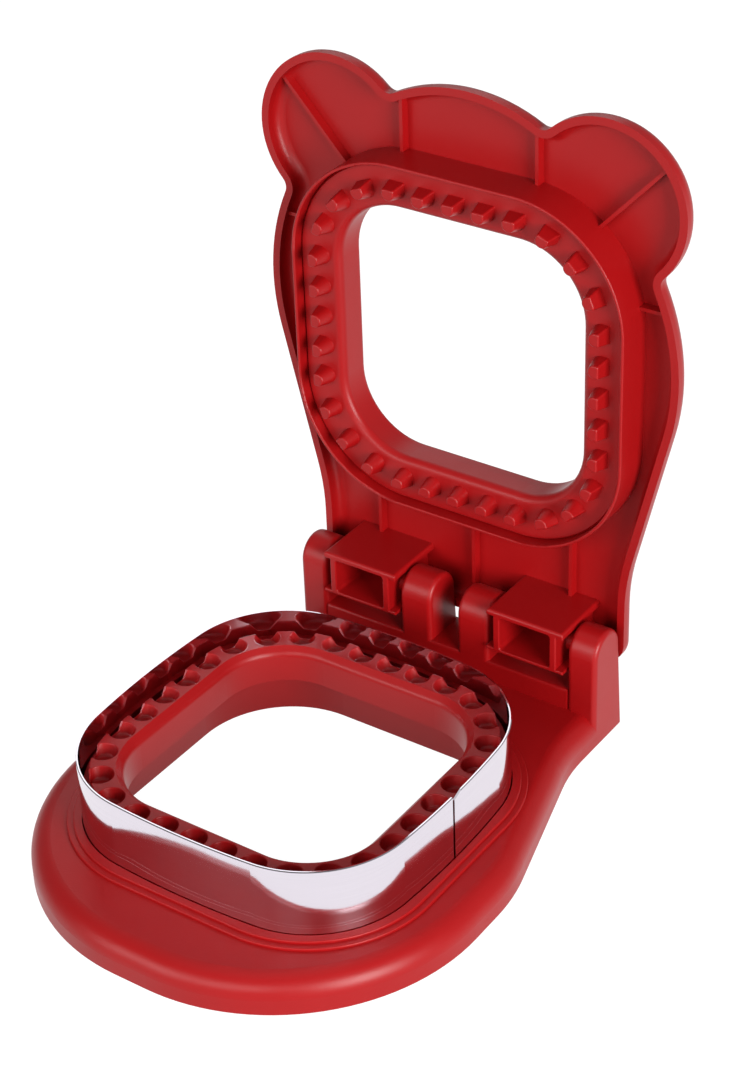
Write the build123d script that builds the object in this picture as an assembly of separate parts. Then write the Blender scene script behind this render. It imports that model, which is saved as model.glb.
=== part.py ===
from build123d import *
import math
import os

# Sandwich cutter and sealer with a bear-head lid, standing open with its lid upright.
# Millimetres, +X to the right, +Y towards the hinge, +Z up, the ground at z = 0.
# It is laid out from the middle of the cutter, and moved at the end so that the origin
# is under the middle of the whole object.

# Rounded squares: every plastic ring of the cutter shares these corner centres
corner_centre = 16.7
pockets_per_corner = 3
pockets_per_side = 4

# Cutter band, a bowed strip of steel with a butt seam
band_half = 45.0
band_corner_ease = 1.6
band_bow = 4.3
band_thickness = 0.5
band_top = 28.2
band_edge_bevel = 0.2
seam_gap = 0.7
seam_y = -0.5
notch_width = 3.0
notch_depth = 1.2

# Base shell
base_height = 9.0
base_wall = 2.2
disc_margin = 12.6
disc_corner_centre = 4.6
disc_y = -7.1
shoulder_radius = 5.0
neck_length = 18.2
knee_radius = 45.0
base_rib_thickness = 1.4
base_rib_count = 12
base_rib_lift = 1.5

# Slot and seat for the band and the crimp ring
slot_clearance = 0.2
core_clearance = 0.9
core_wall = 2.0
slot_floor = 3.0
channel_wall = 2.2
inner_lip_width = 1.7
outer_lip_width = 1.6
inner_lip_height = 1.4
outer_lip_height = 0.7
lip_round = 0.3

# Crimp ring
crimp_drop = 4.7
crimp_height = 9.5
crimp_width = 9.7
crimp_shoulder = 1.75
crimp_shoulder_round = 2.0
crown_ease = 1.6
crown_height = 4.0
crown_round = 0.3
crimp_rib_wall = 1.8
crimp_groove_depth = 1.9
spigot_depth = 3.0
spigot_wall = 1.4
spigot_clearance = 0.1
pocket_radius = 3.3
pocket_floor_radius = 2.3
pocket_depth = 3.0
pocket_floor_round = 0.8
pocket_inset = 2.6
mouth_setout = 3.1
mouth_radius = 3.0
mouth_floor_radius = 1.5
mouth_depth = 2.2
mouth_floor_round = 0.6

# Hinge: the axis runs along X, behind the band and a little under its top
hinge_setback = 24.5
hinge_drop = 2.5
lug_radius = 6.0
lug_inner_face = 36.5
lug_width = 8.1
post_inner_face = 4.0
post_width = 9.3
lug_foot = 2.0
lug_round = 1.3
sill_clearance = 1.5
sill_round = 0.7
stub_radius = 2.5
stub_clearance = 0.06
seat_depth = 3.0
seat_end_gap = 0.2
stub_lead = 0.4

# Lid outline, seen from the front: margins beyond the band, heights above the ring's middle
head_rise = 5.1
head_margin = 13.0
crown_margin = 21.7
crown_radius = 43.0
ear_inset = 7.5
ear_lift = 1.8
ear_radius = 21.3
valley_radius = 3.0

# Heel of the lid, in heights from the hinge axis
heel_overhang = 0.6
heel_drop = 7.7
heel_corner = 5.5
heel_knee_rise = 16.1
heel_knee_radius = 60.0
heel_rest_gap = 0.2

# Lid shell
lid_depth = 6.0
lid_panel = 2.0
skirt_wall = 2.0
lid_back_round = 4.5
lid_floor_round = 2.4
rim_clearance = 1.05
rim_wall = 0.85
rim_round = 0.35
ledge = 3.5
lid_opening_step = 0.2
lid_opening_round = 1.5
bite = 2.3
floor_gap = 0.5

# Ribs in the lid
rib_thickness = 0.9
rib_height = 2.4
rib_bury = 0.8
ear_rib_out = 6.3
ear_rib_up = 2.4
ear_rib_angle = 47.0
crown_rib_x = 18.7
heel_rib_x = 28.7
cheek_rib_rise = 22.5

# Knuckles: two cored boxes on the lid that sit between the lugs
knuckle_clearance = 0.5
knuckle_nose = 7.5
knuckle_rise = 6.4
knuckle_drop = 5.7
knuckle_plate = 1.6
knuckle_sole = 0.9
knuckle_wall = 1.8
knuckle_channel = 2.0
knuckle_core_back = 2.0
knuckle_core_round = 0.8
knuckle_top_round = 0.8
knuckle_nose_round = 0.35

# Press ring with its pegs
press_clearance = 0.1
press_width = 11.55
press_inner_round = 2.0
press_edge_bevel = 0.5
peg_offset = 0.2
peg_root_radius = 2.4
peg_root_reach = 2.2
peg_tip_radius = 1.65
peg_tip_reach = 1.4
peg_tip_shift = 0.3
peg_height = 4.2
peg_overlap = 0.3
peg_corner_round = 0.5
peg_tip_round = 0.4

# How near a place has to be to count as the one that is meant
near_enough = 0.5
edge_tolerance = 0.01

# The hinge, its lugs and the sill under the knuckles, from the sizes above
hinge_y = band_half + hinge_setback
hinge_z = band_top - hinge_drop
lug_outer_face = lug_inner_face + lug_width
post_outer_face = post_inner_face + post_width
lug_front_y = hinge_y - lug_radius
lug_back_y = hinge_y + lug_radius
lug_foot_y = lug_back_y + lug_foot
sill_height = hinge_z - math.hypot(knuckle_nose, knuckle_drop) - sill_clearance

# The base and the rings inside the band
disc_half = band_half + disc_margin
disc_corner = disc_half - disc_corner_centre
band_corner = band_half - corner_centre - band_corner_ease
slot_half = band_half + slot_clearance
core_half = band_half - band_thickness - core_clearance
base_opening_half = core_half - core_wall
crimp_top = band_top - crimp_drop
crimp_seat = crimp_top - crimp_height
crimp_opening_half = core_half - crimp_width
crown_half = core_half - crown_ease
pocket_path_half = crown_half - pocket_inset

# The lid: its heel leans on the sloping backs of the lugs
ring_z = hinge_z + hinge_y
heel_z = hinge_z - heel_drop
heel_half = lug_outer_face + heel_overhang
lip_y = lug_back_y + lug_foot * heel_drop / hinge_z + heel_rest_gap
lid_back_y = lip_y + lid_depth
lid_floor_y = lid_back_y - lid_panel
head_z = ring_z + head_rise
head_radius = band_half + head_margin
crown_z = ring_z + band_half + crown_margin - crown_radius
ear_x = band_half - ear_inset
ear_z = ring_z + band_half + ear_lift

# The ring in the lid, which closes over the band
rim_y = hinge_y + hinge_drop - bite
rim_half = band_half + rim_clearance
press_floor_y = rim_y + bite + floor_gap
press_seat_y = lid_back_y - ledge
press_half = rim_half - press_clearance
press_opening_half = press_half - press_width
lid_opening_half = press_opening_half + lid_opening_step
peg_path_half = pocket_path_half + peg_offset

# The whole object
object_front_y = disc_y - disc_half
object_middle_y = (object_front_y + lid_back_y) / 2


def rounded_square(half):
    """Rounded square about the cutter's middle."""
    return RectangleRounded(2 * half, 2 * half, half - corner_centre)


def bowed_square(inset):
    """Outline of the cutter band: four bowed sides joined by corner arcs."""
    half = band_half - inset
    side_radius = band_half**2 / (2 * band_bow) - inset
    corner_radius = band_corner - inset
    side_centre = half - side_radius
    reach = side_radius - corner_radius
    square = side_centre**2 - reach**2
    centre = (side_centre + math.sqrt(side_centre**2 - 2 * square)) / 2
    swing = math.degrees(math.atan2(centre, centre - side_centre))
    arcs = []
    for turn in range(4):
        side = CenterArc((side_centre, 0), side_radius, -swing, 2 * swing)
        corner = CenterArc((centre, centre), corner_radius, swing, 90 - 2 * swing)
        arcs.append(Rot(0, 0, 90 * turn) * side)
        arcs.append(Rot(0, 0, 90 * turn) * corner)
    return make_face(Curve() + arcs)


def along_square(half):
    """Evenly spaced places on a rounded square, each turned to face outwards."""
    side_step = 2 * corner_centre / pockets_per_side
    corner_step = 90 / (pockets_per_corner + 1)
    radius = half - corner_centre
    places = []
    for turn in range(4):
        quarter = Rot(0, 0, 90 * turn)
        for step in range(pockets_per_side + 1):
            places.append(quarter * Pos(half, side_step * step - corner_centre))
        for step in range(pockets_per_corner):
            corner = Pos(corner_centre, corner_centre) * Rot(0, 0, corner_step * (step + 1))
            places.append(quarter * corner * Pos(radius, 0))
    return places


def upright(sketch, front, back):
    """Extrude a sketch drawn in X and height, from one Y to another."""
    plane = Plane(origin=(0, back, 0), x_dir=(1, 0, 0), z_dir=(0, -1, 0))
    return extrude(plane * sketch, amount=back - front)


def slab(sketch, bottom, top):
    """Extrude a plan sketch between two heights."""
    return extrude(Pos(0, 0, bottom) * sketch, amount=top - bottom)


def block(x_range, y_range, z_range):
    """Box from its limits along X, Y and Z."""
    size = [high - low for low, high in (x_range, y_range, z_range)]
    middle = [(high + low) / 2 for low, high in (x_range, y_range, z_range)]
    return Pos(*middle) * Box(*size)


def touching_angle(across, along, radius):
    """Where a line from a point outside a circle touches it, as an angle about its centre."""
    return math.atan2(along, across) - math.acos(radius / math.hypot(across, along))


def base_plan(inset):
    """Disc that narrows to the neck under the hinge, drawn a wall's inset from the outside."""
    corner_y = disc_y + disc_corner_centre
    corner_radius = disc_corner - inset
    neck_half = lug_outer_face - inset
    knee_ahead = hinge_y - neck_length - corner_y
    angle = touching_angle(lug_outer_face - disc_corner_centre, knee_ahead, disc_corner)
    tangent_x = disc_corner_centre + corner_radius * math.cos(angle)
    tangent_y = corner_y + corner_radius * math.sin(angle)
    knee_y = tangent_y + (tangent_x - neck_half) / math.tan(angle)
    corners = [(tangent_x, tangent_y), (neck_half, knee_y), (neck_half, lug_back_y - inset)]
    mirrored = [(-x, y) for x, y in reversed(corners)]
    neck = make_face(Polyline(*corners, *mirrored, close=True))
    width = 2 * (disc_half - inset)
    plan = neck + Pos(0, disc_y) * RectangleRounded(width, width, corner_radius)
    knees = [v for v in plan.vertices() if abs(v.Y - knee_y) < near_enough]
    return fillet(knees, knee_radius + inset)


def base_cavity():
    """Hollow under the disc and neck, one wall in from the outside."""
    cavity = slab(base_plan(base_wall), 0, base_height - base_wall)
    return fillet(cavity.faces().sort_by(Axis.Z)[-1].edges(), shoulder_radius - base_wall)


def base_ribs(cavity):
    """Stiffening ribs that cross the hollow from the channel to the outer wall."""
    ribs = Part()
    for step in range(base_rib_count):
        place = Pos(0, disc_y) * Rot(0, 0, (step + 0.5) * 360 / base_rib_count)
        strip = Pos(disc_half, 0) * Rectangle(2 * disc_half, base_rib_thickness)
        ribs += slab(place * strip, base_rib_lift, base_height)
    return ribs & cavity


def hinge_profile():
    """Side view of a lug: upright front, round top, back sloping out to its foot."""
    front = Line((lug_front_y, 0), (lug_front_y, hinge_z))
    top = CenterArc((hinge_y, hinge_z), lug_radius, 180, -180)
    back = Line((lug_back_y, hinge_z), (lug_foot_y, 0))
    foot = Line((lug_foot_y, 0), (lug_front_y, 0))
    return make_face(Curve() + [front, top, back, foot])


def lug(low, high):
    """One lug between two X faces, with its outline edges rounded."""
    plane = Plane(origin=(low, 0, 0), x_dir=(0, 1, 0), z_dir=(1, 0, 0))
    solid = extrude(plane * hinge_profile(), amount=high - low)
    outline = [e for e in solid.edges() if e.bounding_box().size.X < lug_round and e.center().Z > lug_round]
    return fillet(outline, lug_round)


def hinge_riser():
    """Block under the knuckles with the four lugs standing on it."""
    plane = Plane(origin=(-lug_inner_face, 0, 0), x_dir=(0, 1, 0), z_dir=(1, 0, 0))
    bar = extrude(plane * hinge_profile(), amount=2 * lug_inner_face)
    bar = split(bar, Plane.XY.offset(sill_height), keep=Keep.BOTTOM)
    sill_edge = bar.faces().sort_by(Axis.Z)[-1].edges().sort_by(Axis.Y)[0]
    bar = fillet(sill_edge, sill_round)
    for side in (-1, 1):
        for inner, outer in ((lug_inner_face, lug_outer_face), (post_inner_face, post_outer_face)):
            bar += lug(*sorted((side * inner, side * outer)))
    return bar


def riser_room():
    """Hollow inside the riser, open underneath."""
    reach = lug_outer_face - base_wall
    depth = (lug_front_y + base_wall, lug_back_y - base_wall)
    return block((-reach, reach), depth, (0, sill_height - base_wall))


def hinge_seats():
    """Blind round seats in the lugs for the stubs of the knuckles."""
    radius = stub_radius + stub_clearance
    across = Pos(0, hinge_y, hinge_z) * Rot(0, 90, 0)
    outer = Cylinder(radius, 2 * (lug_inner_face + seat_depth))
    outer -= Cylinder(radius, 2 * lug_inner_face)
    inner = Cylinder(radius, 2 * post_outer_face)
    inner -= Cylinder(radius, 2 * (post_outer_face - seat_depth))
    return across * (outer + inner)


def base_shell():
    plate = slab(base_plan(0), 0, base_height)
    plate = fillet(plate.faces().sort_by(Axis.Z)[-1].edges(), shoulder_radius)
    cavity = base_cavity()
    shell = plate - cavity + base_ribs(cavity)
    shell += hinge_riser()
    shell -= riser_room()
    inner_lip = slot_half + inner_lip_width
    outer_lip = inner_lip + outer_lip_width
    shell += slab(rounded_square(slot_half + channel_wall), 0, base_height)
    outer_step = slab(rounded_square(outer_lip), base_height - lip_round, base_height + outer_lip_height)
    inner_step = slab(rounded_square(inner_lip), base_height - lip_round, base_height + inner_lip_height)
    shell += fillet(outer_step.faces().sort_by(Axis.Z)[-1].edges(), lip_round)
    shell += fillet(inner_step.faces().sort_by(Axis.Z)[-1].edges(), lip_round)
    shell -= slab(bowed_square(-slot_clearance), slot_floor, crimp_seat)
    shell += slab(rounded_square(core_half), 0, crimp_seat)
    shell -= slab(rounded_square(base_opening_half), 0, crimp_seat)
    return shell - hinge_seats()


def round_cup(floor_radius, rim_radius, depth, floor_round):
    """Round cup with its rim at z = 0, narrowing down to a rounded floor."""
    cup = Pos(0, 0, -depth / 2) * Cone(floor_radius, rim_radius, depth)
    return fillet(cup.faces().sort_by(Axis.Z)[0].edges(), floor_round)


def crimp_crown():
    """Upper part of the crimp ring: sloping shoulder inside, pockets that open towards the band."""
    plan = rounded_square(crown_half) - rounded_square(crimp_opening_half)
    crown = slab(plan, crimp_top - crown_height, crimp_top)
    crown = chamfer(crown.faces().sort_by(Axis.Z)[-1].inner_wires()[0].edges(), crimp_shoulder)
    shoulder_z = crimp_top - crimp_shoulder
    corner = [e for e in crown.edges() if abs(e.center().Z - shoulder_z) < edge_tolerance]
    crown = fillet(corner, crimp_shoulder_round)
    cup = round_cup(pocket_floor_radius, pocket_radius, pocket_depth, pocket_floor_round)
    mouth = round_cup(mouth_floor_radius, mouth_radius, mouth_depth, mouth_floor_round)
    cutter = cup + Pos(mouth_setout, 0) * mouth
    for place in along_square(pocket_path_half):
        crown -= Pos(0, 0, crimp_top) * place * cutter
    return fillet(crown.faces().sort_by(Axis.Z)[-1].outer_wire().edges(), crown_round)


def crimp_ring():
    """Ring inside the band: pocketed crown, foot, groove and spigot underneath."""
    foot = rounded_square(core_half) - rounded_square(crimp_opening_half)
    ring = slab(foot, crimp_seat, crimp_top - crown_height)
    ring += crimp_crown()
    spigot_half = base_opening_half - spigot_clearance
    groove_outer = spigot_half - spigot_wall
    groove_inner = crimp_opening_half + crimp_rib_wall
    spigot = rounded_square(spigot_half) - rounded_square(groove_outer)
    ring += slab(spigot, crimp_seat - spigot_depth, crimp_seat)
    groove = rounded_square(groove_outer) - rounded_square(groove_inner)
    return ring - slab(groove, crimp_seat, crimp_seat + crimp_groove_depth)


def cutter_band():
    """Steel strip bent to a bowed square, bevelled along the top, with its seam and notch."""
    strip = slab(bowed_square(0) - bowed_square(band_thickness), slot_floor, band_top)
    strip = chamfer(strip.faces().sort_by(Axis.Z)[-1].outer_wire().edges(), band_edge_bevel)
    strip -= block((0, 2 * band_half), (seam_y - seam_gap, seam_y), (0, 2 * band_top))
    corner = [(seam_y, band_top - notch_depth), (seam_y + notch_width, band_top), (seam_y, band_top)]
    plane = Plane(origin=(0, 0, 0), x_dir=(0, 1, 0), z_dir=(1, 0, 0))
    strip -= extrude(plane * make_face(Polyline(*corner, close=True)), amount=2 * band_half)
    return strip


def lid_outline(inset):
    """Bear head with two ears, tapering to the heel, drawn a wall's inset from the outside."""
    angle = touching_angle(heel_half, head_z - hinge_z - heel_knee_rise, head_radius)
    head = head_radius - inset
    heel = heel_half - inset
    bottom = heel_z + inset
    tangent_x = head * math.cos(angle)
    tangent_z = head_z - head * math.sin(angle)
    knee_z = tangent_z - (tangent_x - heel) / math.tan(angle)
    corners = [(heel, bottom), (heel, knee_z), (tangent_x, tangent_z)]
    mirrored = [(-x, z) for x, z in reversed(corners)]
    outline = make_face(Polyline(*corners, *mirrored, close=True))
    outline += Pos(0, head_z) * Circle(head)
    outline += Pos(0, crown_z) * Circle(crown_radius - inset)
    for side in (-1, 1):
        outline += Pos(side * ear_x, ear_z) * Circle(ear_radius - inset)
    valleys = [v for v in outline.vertices() if v.Y > head_z]
    outline = fillet(valleys, valley_radius + inset)
    knees = [v for v in outline.vertices() if abs(v.Y - knee_z) < near_enough]
    outline = fillet(knees, heel_knee_radius + inset)
    heels = [v for v in outline.vertices() if abs(v.Y - bottom) < near_enough]
    return fillet(heels, heel_corner - inset)


def lid_ribs():
    """Ribs on the lid's floor that run from the ring to the skirt, clear of the outside."""
    strips = Sketch() + Pos(0, ring_z - rim_half) * Rectangle(rib_thickness, head_radius)
    heel_rib_low = hinge_z + knuckle_rise - knuckle_plate / 2
    heel_rib_high = ring_z - corner_centre
    heel_rib = Rectangle(rib_thickness, heel_rib_high - heel_rib_low)
    for side in (-1, 1):
        ear_rib = Pos(side * (ear_x + ear_rib_out), ear_z + ear_rib_up) * Rot(0, 0, side * ear_rib_angle)
        strips += ear_rib * Rectangle(2 * ear_radius, rib_thickness)
        strips += Pos(side * crown_rib_x, ring_z + head_radius) * Rectangle(rib_thickness, 2 * ear_radius)
        strips += Pos(side * heel_rib_x, (heel_rib_high + heel_rib_low) / 2) * heel_rib
        strips += Pos(side * head_radius, ring_z + cheek_rib_rise) * Rectangle(2 * ear_radius, rib_thickness)
    strips &= lid_outline(skirt_wall - rib_bury)
    strips -= Pos(0, ring_z) * rounded_square(rim_half + rim_wall / 2)
    return upright(strips, lid_floor_y - rib_height, lid_floor_y + rib_bury / 2)


def knuckle(side):
    """Cored box with a channel down each side, and a round stub on each side wall."""
    near = post_outer_face + knuckle_clearance
    far = lug_inner_face - knuckle_clearance
    nose_y = hinge_y - knuckle_nose
    bottom = hinge_z - knuckle_drop
    top = hinge_z + knuckle_rise
    back_y = lid_floor_y + lid_panel / 2
    body = block((near, far), (nose_y, back_y), (bottom, top))
    top_edges = body.faces().sort_by(Axis.Z)[-1].edges().sort_by(Axis.Y)[:-1]
    body = fillet(top_edges, knuckle_top_round)
    levels = (bottom + knuckle_sole, top - knuckle_plate)
    inner_near = near + knuckle_channel + knuckle_wall
    inner_far = far - knuckle_channel - knuckle_wall
    core = block((inner_near, inner_far), (nose_y, lid_floor_y - knuckle_core_back), levels)
    body -= fillet(core.edges().filter_by(Axis.Y), knuckle_core_round)
    body -= block((near, near + knuckle_channel), (nose_y, lid_floor_y), levels)
    body -= block((far - knuckle_channel, far), (nose_y, lid_floor_y), levels)
    nose = body.faces().sort_by(Axis.Y)[0].edges()
    body = fillet([e for e in nose if e.center().Z < top - knuckle_plate / 2], knuckle_nose_round)
    stub_low = post_outer_face - seat_depth + seat_end_gap
    stub_high = lug_inner_face + seat_depth - seat_end_gap
    body += stub(stub_low, near + knuckle_channel + knuckle_wall / 2)
    body += stub(stub_high, far - knuckle_channel - knuckle_wall / 2)
    if side < 0:
        body = mirror(body, about=Plane.YZ)
    return body


def stub(tip, root):
    """Hinge stub along X from its root in a side wall to its bevelled tip."""
    length = abs(tip - root)
    shaft = Cylinder(stub_radius, length)
    end = shaft.faces().sort_by(Axis.Z)[-1 if tip > root else 0]
    shaft = chamfer(end.edges(), stub_lead)
    return Pos((tip + root) / 2, hinge_y, hinge_z) * Rot(0, 90, 0) * shaft


def lid_shell():
    outer = upright(lid_outline(0), lip_y, lid_back_y)
    outer = fillet(outer.faces().sort_by(Axis.Y)[-1].edges(), lid_back_round)
    hollow = upright(lid_outline(skirt_wall), lip_y, lid_floor_y)
    hollow = fillet(hollow.faces().sort_by(Axis.Y)[-1].edges(), lid_floor_round)
    shell = outer - hollow
    centre = Pos(0, ring_z)
    wall = upright(centre * rounded_square(rim_half + rim_wall), rim_y, lid_floor_y + lid_panel / 2)
    shell += wall
    shell += lid_ribs()
    shell -= upright(centre * rounded_square(rim_half), rim_y, press_seat_y)
    shell -= upright(centre * rounded_square(lid_opening_half), press_seat_y, lid_back_y)
    shell = fillet(shell.faces().sort_by(Axis.Y)[0].edges(), rim_round)
    shell = fillet(shell.faces().sort_by(Axis.Y)[-1].inner_wires()[0].edges(), lid_opening_round)
    for side in (-1, 1):
        shell += knuckle(side)
    return shell


def peg_section(radius, reach):
    """Plan of a peg: half round towards the middle of the ring, flat towards its edge."""
    sides = Polyline((0, -radius), (reach, -radius), (reach, radius), (0, radius))
    plan = make_face(Curve() + [sides, CenterArc((0, 0), radius, 90, 180)])
    corners = [v for v in plan.vertices() if v.X > reach - near_enough]
    return fillet(corners, peg_corner_round)


def peg():
    """Peg that narrows from its root, drawn along +Z with its flat side towards +X."""
    root = peg_section(peg_root_radius, peg_root_reach)
    tip = Pos(peg_tip_shift, 0, peg_height) * peg_section(peg_tip_radius, peg_tip_reach - peg_tip_shift)
    body = loft([root, tip], ruled=True)
    body = fillet(body.faces().sort_by(Axis.Z)[-1].edges(), peg_tip_round)
    return body + extrude(root, amount=-peg_overlap)


def press_ring():
    """Ring in the lid that carries the pegs, with a round inner edge."""
    plan = Pos(0, ring_z) * (rounded_square(press_half) - rounded_square(press_opening_half))
    ring = upright(plan, press_floor_y, press_seat_y)
    front = ring.faces().sort_by(Axis.Y)[0]
    ring = chamfer(front.outer_wire().edges(), press_edge_bevel)
    front = ring.faces().sort_by(Axis.Y)[0]
    ring = fillet(front.inner_wires()[0].edges(), press_inner_round)
    to_front = Plane(origin=(0, press_floor_y, ring_z), x_dir=(1, 0, 0), z_dir=(0, -1, 0))
    for place in along_square(peg_path_half):
        ring += to_front.location * place * peg()
    return ring


pieces = {
    "base_shell": base_shell(),
    "crimp_ring": crimp_ring(),
    "cutter_band": cutter_band(),
    "lid_shell": lid_shell(),
    "press_ring": press_ring(),
}

os.makedirs("parts", exist_ok=True)
for name, solid in pieces.items():
    export_step(Pos(0, -object_middle_y, 0) * solid, f"parts/{name}.step")
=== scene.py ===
"""Looks of the sandwich cutter and sealer: materials, soft studio light, floor and camera."""
import bpy
import math
from mathutils import Matrix, Vector

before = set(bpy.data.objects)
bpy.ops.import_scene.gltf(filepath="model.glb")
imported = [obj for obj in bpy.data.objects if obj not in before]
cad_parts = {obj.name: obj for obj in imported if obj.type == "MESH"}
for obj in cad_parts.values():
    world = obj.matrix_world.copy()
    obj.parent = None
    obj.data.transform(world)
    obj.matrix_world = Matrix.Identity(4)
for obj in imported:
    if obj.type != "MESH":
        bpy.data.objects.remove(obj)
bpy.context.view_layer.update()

# Camera, in degrees, metres and pixels of the 729 x 1066 picture
AZIMUTH = 34.71
ELEVATION = 31.71
ROLL = -1.66
DISTANCE = 0.60196
TARGET = Vector((-0.00002, 0.04154, 0.06590))
FOCAL_PIXELS = 2494.25
CENTRE_PIXEL = (410.22, 499.04)
PICTURE = (729, 1066)
SENSOR_MM = 36.0
CLIP_START = 0.01
CLIP_END = 50

# Red plastic: two tints of its flow marks, its gloss and its fine grain
PLASTIC_DARK = (0.272, 0.0024, 0.0032, 1)
PLASTIC_LIGHT = (0.312, 0.0034, 0.0044, 1)
PLASTIC_SMOOTHEST = 0.36
PLASTIC_ROUGHEST = 0.40
PLASTIC_SPECULAR = 0.28
FLOW_SCALE = 45.0
FLOW_DETAIL = 3.0
SMUDGE_SCALE = 120.0
SMUDGE_DETAIL = 4.0
GRAIN_SCALE = 2600.0
GRAIN_DETAIL = 3.0
GRAIN_STRENGTH = 0.22
GRAIN_DEPTH = 0.0001

# Polished steel: two tints, its gloss and its rolling lines, drawn out round the band
STEEL_DARK = (0.68, 0.635, 0.70, 1)
STEEL_LIGHT = (0.74, 0.70, 0.76, 1)
STEEL_SMOOTHEST = 0.04
STEEL_ROUGHEST = 0.09
LINE_SCALE = 60.0
LINE_DETAIL = 4.0
LINE_STRETCH = (1.0, 1.0, 60.0)
LINE_STRENGTH = 0.03
LINE_DEPTH = 0.00005

# The part of a noise's range that is spread over the range of roughness
NOISE_LOW = 0.3
NOISE_HIGH = 0.7

# Floor: a light table, half its width, its place under the object and its glow
FLOOR_HALF = 6.0
FLOOR_DROP = 0.0001
FLOOR_DARK = (0.12, 0.12, 0.12, 1)
FLOOR_LIGHT = (0.14, 0.14, 0.14, 1)
FLOOR_GLOW = (1.0, 0.995, 1.0, 1)
FLOOR_GLOW_STRENGTH = 0.98
FLOOR_ROUGHNESS = 0.9
FLOOR_SPECULAR = 0.1
CLOUD_SCALE = 3.0
CLOUD_DETAIL = 2.0

# Sky: its colour, and its brightness in front of the object and behind it
SKY_COLOUR = (1.0, 0.98, 1.0, 1)
SKY_FRONT = 0.14
SKY_BACK = 0.42

# The point that every softbox is turned towards
LIT_POINT = Vector((0, 0, 0.07))


def photo_camera():
    """Camera at the photograph's place, with its slight roll and off-centre crop."""
    azimuth = math.radians(AZIMUTH)
    elevation = math.radians(ELEVATION)
    roll = math.radians(ROLL)
    back = Vector((
        math.sin(azimuth) * math.cos(elevation),
        -math.cos(azimuth) * math.cos(elevation),
        math.sin(elevation),
    ))
    right = Vector((0, 0, 1)).cross(back).normalized()
    up = back.cross(right)
    turned_right = math.cos(roll) * right + math.sin(roll) * up
    turned_up = math.cos(roll) * up - math.sin(roll) * right
    data = bpy.data.cameras.new("photo_camera")
    long_side = max(PICTURE)
    data.sensor_width = SENSOR_MM
    data.lens = FOCAL_PIXELS * SENSOR_MM / long_side
    data.shift_x = (PICTURE[0] / 2 - CENTRE_PIXEL[0]) / long_side
    data.shift_y = (CENTRE_PIXEL[1] - PICTURE[1] / 2) / long_side
    data.clip_start = CLIP_START
    data.clip_end = CLIP_END
    camera = bpy.data.objects.new("photo_camera", data)
    turn = Matrix((turned_right, turned_up, back)).transposed().to_4x4()
    camera.matrix_world = Matrix.Translation(TARGET + DISTANCE * back) @ turn
    bpy.context.scene.collection.objects.link(camera)
    bpy.context.scene.camera = camera


def new_material(name):
    """Empty node material; returns it with its nodes, its linker and its shader."""
    material = bpy.data.materials.new(name)
    material.use_nodes = True
    nodes = material.node_tree.nodes
    nodes.clear()
    shader = nodes.new("ShaderNodeBsdfPrincipled")
    output = nodes.new("ShaderNodeOutputMaterial")
    material.node_tree.links.new(shader.outputs["BSDF"], output.inputs["Surface"])
    return material, nodes, material.node_tree.links.new, shader


def noise(nodes, link, place, scale, detail):
    """Noise of a given scale, in waves per metre, read at a socket of coordinates."""
    node = nodes.new("ShaderNodeTexNoise")
    node.inputs["Scale"].default_value = scale
    node.inputs["Detail"].default_value = detail
    link(place, node.inputs["Vector"])
    return node


def spread(nodes, link, source, low, high):
    """Socket that holds a noise mapped onto a range of values."""
    node = nodes.new("ShaderNodeMapRange")
    node.inputs["From Min"].default_value = NOISE_LOW
    node.inputs["From Max"].default_value = NOISE_HIGH
    node.inputs["To Min"].default_value = low
    node.inputs["To Max"].default_value = high
    link(source.outputs["Fac"], node.inputs["Value"])
    return node.outputs["Result"]


def two_tints(nodes, link, source, first, second):
    """Socket that holds a mix of two colours by a noise."""
    node = nodes.new("ShaderNodeMix")
    node.data_type = "RGBA"
    node.inputs["A"].default_value = first
    node.inputs["B"].default_value = second
    link(source.outputs["Fac"], node.inputs["Factor"])
    return node.outputs["Result"]


def relief(nodes, link, source, strength, depth):
    """Socket that holds a normal bent by a noise, over a depth in metres."""
    node = nodes.new("ShaderNodeBump")
    node.inputs["Strength"].default_value = strength
    node.inputs["Distance"].default_value = depth
    link(source.outputs["Fac"], node.inputs["Height"])
    return node.outputs["Normal"]


def red_plastic():
    """Satin moulded plastic: deep red, faint flow marks and a very fine grain."""
    material, nodes, link, shader = new_material("red_plastic")
    place = nodes.new("ShaderNodeTexCoord").outputs["Object"]
    flow = noise(nodes, link, place, FLOW_SCALE, FLOW_DETAIL)
    smudge = noise(nodes, link, place, SMUDGE_SCALE, SMUDGE_DETAIL)
    grain = noise(nodes, link, place, GRAIN_SCALE, GRAIN_DETAIL)
    tint = two_tints(nodes, link, flow, PLASTIC_DARK, PLASTIC_LIGHT)
    roughness = spread(nodes, link, smudge, PLASTIC_SMOOTHEST, PLASTIC_ROUGHEST)
    normal = relief(nodes, link, grain, GRAIN_STRENGTH, GRAIN_DEPTH)
    link(tint, shader.inputs["Base Color"])
    link(roughness, shader.inputs["Roughness"])
    link(normal, shader.inputs["Normal"])
    shader.inputs["Specular IOR Level"].default_value = PLASTIC_SPECULAR
    return material


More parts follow.
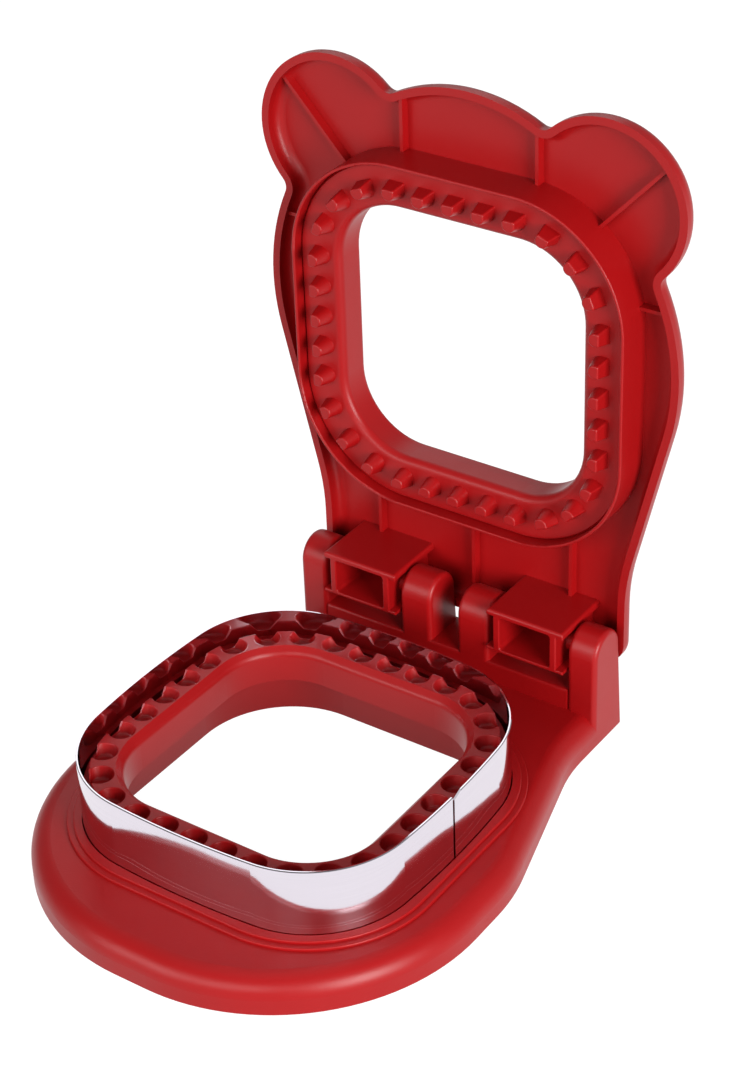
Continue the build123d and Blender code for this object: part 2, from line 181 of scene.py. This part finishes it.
def polished_steel():
    """Mirror-polished strip with faint rolling lines round the band."""
    material, nodes, link, shader = new_material("polished_steel")
    place = nodes.new("ShaderNodeTexCoord").outputs["Object"]
    stretch = nodes.new("ShaderNodeMapping")
    stretch.inputs["Scale"].default_value = LINE_STRETCH
    link(place, stretch.inputs["Vector"])
    lines = noise(nodes, link, stretch.outputs["Vector"], LINE_SCALE, LINE_DETAIL)
    tint = two_tints(nodes, link, lines, STEEL_DARK, STEEL_LIGHT)
    roughness = spread(nodes, link, lines, STEEL_SMOOTHEST, STEEL_ROUGHEST)
    normal = relief(nodes, link, lines, LINE_STRENGTH, LINE_DEPTH)
    link(tint, shader.inputs["Base Color"])
    link(roughness, shader.inputs["Roughness"])
    link(normal, shader.inputs["Normal"])
    shader.inputs["Metallic"].default_value = 1.0
    return material


def floor_material():
    """White light table: it glows evenly, so that it shows hardly any shadow."""
    material, nodes, link, shader = new_material("pale_floor")
    place = nodes.new("ShaderNodeTexCoord").outputs["Object"]
    cloud = noise(nodes, link, place, CLOUD_SCALE, CLOUD_DETAIL)
    tint = two_tints(nodes, link, cloud, FLOOR_DARK, FLOOR_LIGHT)
    link(tint, shader.inputs["Base Color"])
    shader.inputs["Emission Color"].default_value = FLOOR_GLOW
    shader.inputs["Emission Strength"].default_value = FLOOR_GLOW_STRENGTH
    shader.inputs["Roughness"].default_value = FLOOR_ROUGHNESS
    shader.inputs["Specular IOR Level"].default_value = FLOOR_SPECULAR
    return material


def pale_floor():
    """Large flat floor just under the object, which sends it no diffuse light."""
    corners = [
        (-FLOOR_HALF, -FLOOR_HALF, 0),
        (FLOOR_HALF, -FLOOR_HALF, 0),
        (FLOOR_HALF, FLOOR_HALF, 0),
        (-FLOOR_HALF, FLOOR_HALF, 0),
    ]
    mesh = bpy.data.meshes.new("floor")
    mesh.from_pydata(corners, [], [(0, 1, 2, 3)])
    mesh.materials.append(floor_material())
    floor = bpy.data.objects.new("floor", mesh)
    floor.location.z = -FLOOR_DROP
    floor.visible_diffuse = False
    bpy.context.scene.collection.objects.link(floor)


def softbox(name, place, size, power):
    """Rectangular soft light at a place in metres, turned towards the lit point, in watts."""
    data = bpy.data.lights.new(name, "AREA")
    data.shape = "RECTANGLE"
    data.size, data.size_y = size
    data.energy = power
    light = bpy.data.objects.new(name, data)
    light.location = place
    direction = LIT_POINT - Vector(place)
    light.rotation_euler = direction.to_track_quat("-Z", "Y").to_euler()
    bpy.context.scene.collection.objects.link(light)


def sky():
    """Plain sky that is brighter behind the object than in front of it."""
    world = bpy.data.worlds.new("surround")
    world.use_nodes = True
    nodes = world.node_tree.nodes
    link = world.node_tree.links.new
    direction = nodes.new("ShaderNodeTexCoord")
    parts = nodes.new("ShaderNodeSeparateXYZ")
    link(direction.outputs["Generated"], parts.inputs["Vector"])
    level = nodes.new("ShaderNodeMapRange")
    level.inputs["From Min"].default_value = -1.0
    level.inputs["From Max"].default_value = 1.0
    level.inputs["To Min"].default_value = SKY_FRONT
    level.inputs["To Max"].default_value = SKY_BACK
    link(parts.outputs["Y"], level.inputs["Value"])
    background = nodes["Background"]
    background.inputs["Color"].default_value = SKY_COLOUR
    link(level.outputs["Result"], background.inputs["Strength"])
    bpy.context.scene.world = world


def studio():
    """Low key on the right, panels overhead, in front and behind, and a fill on the front left."""
    softbox("key", place=(1.05, -0.42, 0.34), size=(0.5, 0.6), power=19.0)
    softbox("overhead", place=(-0.1, 0.0, 1.3), size=(1.0, 1.0), power=1.6)
    softbox("front", place=(0.25, -1.3, 0.6), size=(0.8, 0.6), power=8.0)
    softbox("behind", place=(-0.63, 0.91, 0.73), size=(0.7, 0.5), power=1.5)
    softbox("fill", place=(-0.55, -1.15, 0.45), size=(0.6, 0.6), power=6.5)


def dress():
    """Gives each CAD piece its finished material."""
    plastic = red_plastic()
    steel = polished_steel()
    for name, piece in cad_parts.items():
        material = steel if name == "cutter_band" else plastic
        for slot in piece.material_slots:
            slot.material = material


photo_camera()
dress()
pale_floor()
studio()
sky()
bpy.context.scene.view_settings.view_transform = "Standard"
